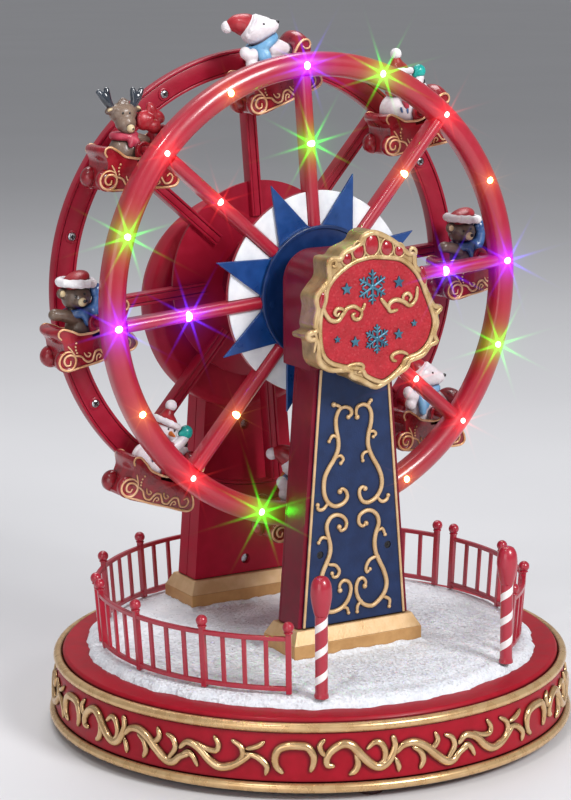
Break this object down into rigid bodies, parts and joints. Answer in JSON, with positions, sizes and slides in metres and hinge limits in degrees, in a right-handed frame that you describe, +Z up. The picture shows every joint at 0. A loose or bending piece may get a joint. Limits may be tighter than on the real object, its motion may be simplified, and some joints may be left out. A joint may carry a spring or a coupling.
{
  "type": "tabletop ferris wheel",
  "caption": "Lit tabletop ferris wheel for a winter village: turning wheel with sleigh gondolas on two towers over a round snow-topped base with a fence.",
  "frame": {"origin": "middle of the round base, on the surface it stands on", "axes": "+Z up, front of the piece with its sign towards -Y, +X to the right seen from the front"},
  "size_m": [0.2607, 0.2592, 0.3444],
  "materials": {
    "crimson_plastic": "satin gloss moulded crimson",
    "gold_paint": "satin antique gold paint",
    "blue_plastic": "satin royal blue",
    "navy_panel": "matt navy",
    "white_plastic": "satin white",
    "striped_plastic": "glossy red and white stripes",
    "snow_coat": "textured white snow with fine glitter",
    "glitter_red": "red glitter",
    "steel": "plain turned steel",
    "brass": "turned brass",
    "black_plastic": "matt black",
    "rubber": "matt dark red-brown rubber",
    "circuit_board": "green board with parts",
    "lamp_lens": "clear domed lamps in mixed colours",
    "brown_resin": "hand painted brown resin",
    "white_resin": "hand painted white resin"
  },
  "bodies": {
    "stand": {"base_shell": "crimson_plastic", "fence_front_right": "crimson_plastic", "fence_rear_right": "crimson_plastic", "fence_rear_left": "crimson_plastic", "fence_front_left": "crimson_plastic", "front_tower_shell": "crimson_plastic", "front_tower_back": "crimson_plastic", "rear_tower_front": "crimson_plastic", "rear_tower_back": "crimson_plastic", "base_bead_lower": "gold_paint", "base_bead_upper": "gold_paint", "front_tower_plinth": "gold_paint", "rear_tower_plinth": "gold_paint", "sign_frame": "gold_paint", "front_tower_panel": "navy_panel", "candy_pole_left": "striped_plastic", "candy_pole_right": "striped_plastic", "snow_deck": "snow_coat", "sign_panel": "glitter_red", "gear_motor": "steel", "front_bearing": "brass", "rear_bearing": "brass", "base_bottom_plate": "black_plastic", "brush_holder": "black_plastic", "dc_jack": "black_plastic", "slide_switch": "black_plastic", "rubber_foot_1": "rubber", "rubber_foot_2": "rubber", "rubber_foot_3": "rubber", "rubber_foot_4": "rubber", "rubber_foot_5": "rubber", "control_board": "circuit_board"},
    "wheel": {"axle": "steel", "front_wheel_shell": "crimson_plastic", "front_wheel_cover": "crimson_plastic", "rear_wheel_shell": "crimson_plastic", "rear_wheel_cover": "crimson_plastic", "led_harness": "lamp_lens", "white_disc": "white_plastic", "star": "blue_plastic", "hub_ring": "blue_plastic", "hub_spacer": "crimson_plastic", "slip_ring": "brass"},
    "power_switch": {"switch_knob": "black_plastic"},
    "gondola_1": {"sleigh_1": "crimson_plastic", "figure_1_brown_bear": "brown_resin"},
    "gondola_2": {"sleigh_2": "crimson_plastic", "figure_2_snowman": "white_resin"},
    "gondola_3": {"sleigh_3": "crimson_plastic", "figure_3_polar_bear": "white_resin"},
    "gondola_4": {"sleigh_4": "crimson_plastic", "figure_4_reindeer": "brown_resin"},
    "gondola_5": {"sleigh_5": "crimson_plastic", "figure_5_brown_bear": "brown_resin"},
    "gondola_6": {"sleigh_6": "crimson_plastic", "figure_6_snowman": "white_resin"},
    "gondola_7": {"sleigh_7": "crimson_plastic", "figure_7_polar_bear": "white_resin"},
    "gondola_8": {"sleigh_8": "crimson_plastic", "figure_8_polar_bear": "white_resin"}
  },
  "joints": [
    {"name": "wheel_spin", "type": "hinge", "parent": "stand", "child": "wheel", "pos_m": [0, 0.02025, 0.2122], "axis": [0, 1, 0], "continuous": true},
    {"name": "gondola_1_swing", "type": "hinge", "parent": "wheel", "child": "gondola_1", "pos_m": [0.10846, 0.02025, 0.22009], "axis": [0, 1, 0], "continuous": true},
    {"name": "gondola_2_swing", "type": "hinge", "parent": "wheel", "child": "gondola_2", "pos_m": [0.07112, 0.02025, 0.29447], "axis": [0, 1, 0], "continuous": true},
    {"name": "gondola_3_swing", "type": "hinge", "parent": "wheel", "child": "gondola_3", "pos_m": [-0.00789, 0.02025, 0.32066], "axis": [0, 1, 0], "continuous": true},
    {"name": "gondola_4_swing", "type": "hinge", "parent": "wheel", "child": "gondola_4", "pos_m": [-0.08227, 0.02025, 0.28332], "axis": [0, 1, 0], "continuous": true},
    {"name": "gondola_5_swing", "type": "hinge", "parent": "wheel", "child": "gondola_5", "pos_m": [-0.10846, 0.02025, 0.20431], "axis": [0, 1, 0], "continuous": true},
    {"name": "gondola_6_swing", "type": "hinge", "parent": "wheel", "child": "gondola_6", "pos_m": [-0.07112, 0.02025, 0.12993], "axis": [0, 1, 0], "continuous": true},
    {"name": "gondola_7_swing", "type": "hinge", "parent": "wheel", "child": "gondola_7", "pos_m": [0.00789, 0.02025, 0.10374], "axis": [0, 1, 0], "continuous": true},
    {"name": "gondola_8_swing", "type": "hinge", "parent": "wheel", "child": "gondola_8", "pos_m": [0.08227, 0.02025, 0.14108], "axis": [0, 1, 0], "continuous": true},
    {"name": "switch_slide", "type": "slide", "parent": "stand", "child": "power_switch", "axis": [1, 0, 0], "range_m": [0, 0.004]}
  ],
  "couplings": [
    {"joint": "gondola_1_swing", "follows": "wheel_spin", "ratio": -1},
    {"joint": "gondola_2_swing", "follows": "wheel_spin", "ratio": -1},
    {"joint": "gondola_3_swing", "follows": "wheel_spin", "ratio": -1},
    {"joint": "gondola_4_swing", "follows": "wheel_spin", "ratio": -1},
    {"joint": "gondola_5_swing", "follows": "wheel_spin", "ratio": -1},
    {"joint": "gondola_6_swing", "follows": "wheel_spin", "ratio": -1},
    {"joint": "gondola_7_swing", "follows": "wheel_spin", "ratio": -1},
    {"joint": "gondola_8_swing", "follows": "wheel_spin", "ratio": -1}
  ]
}
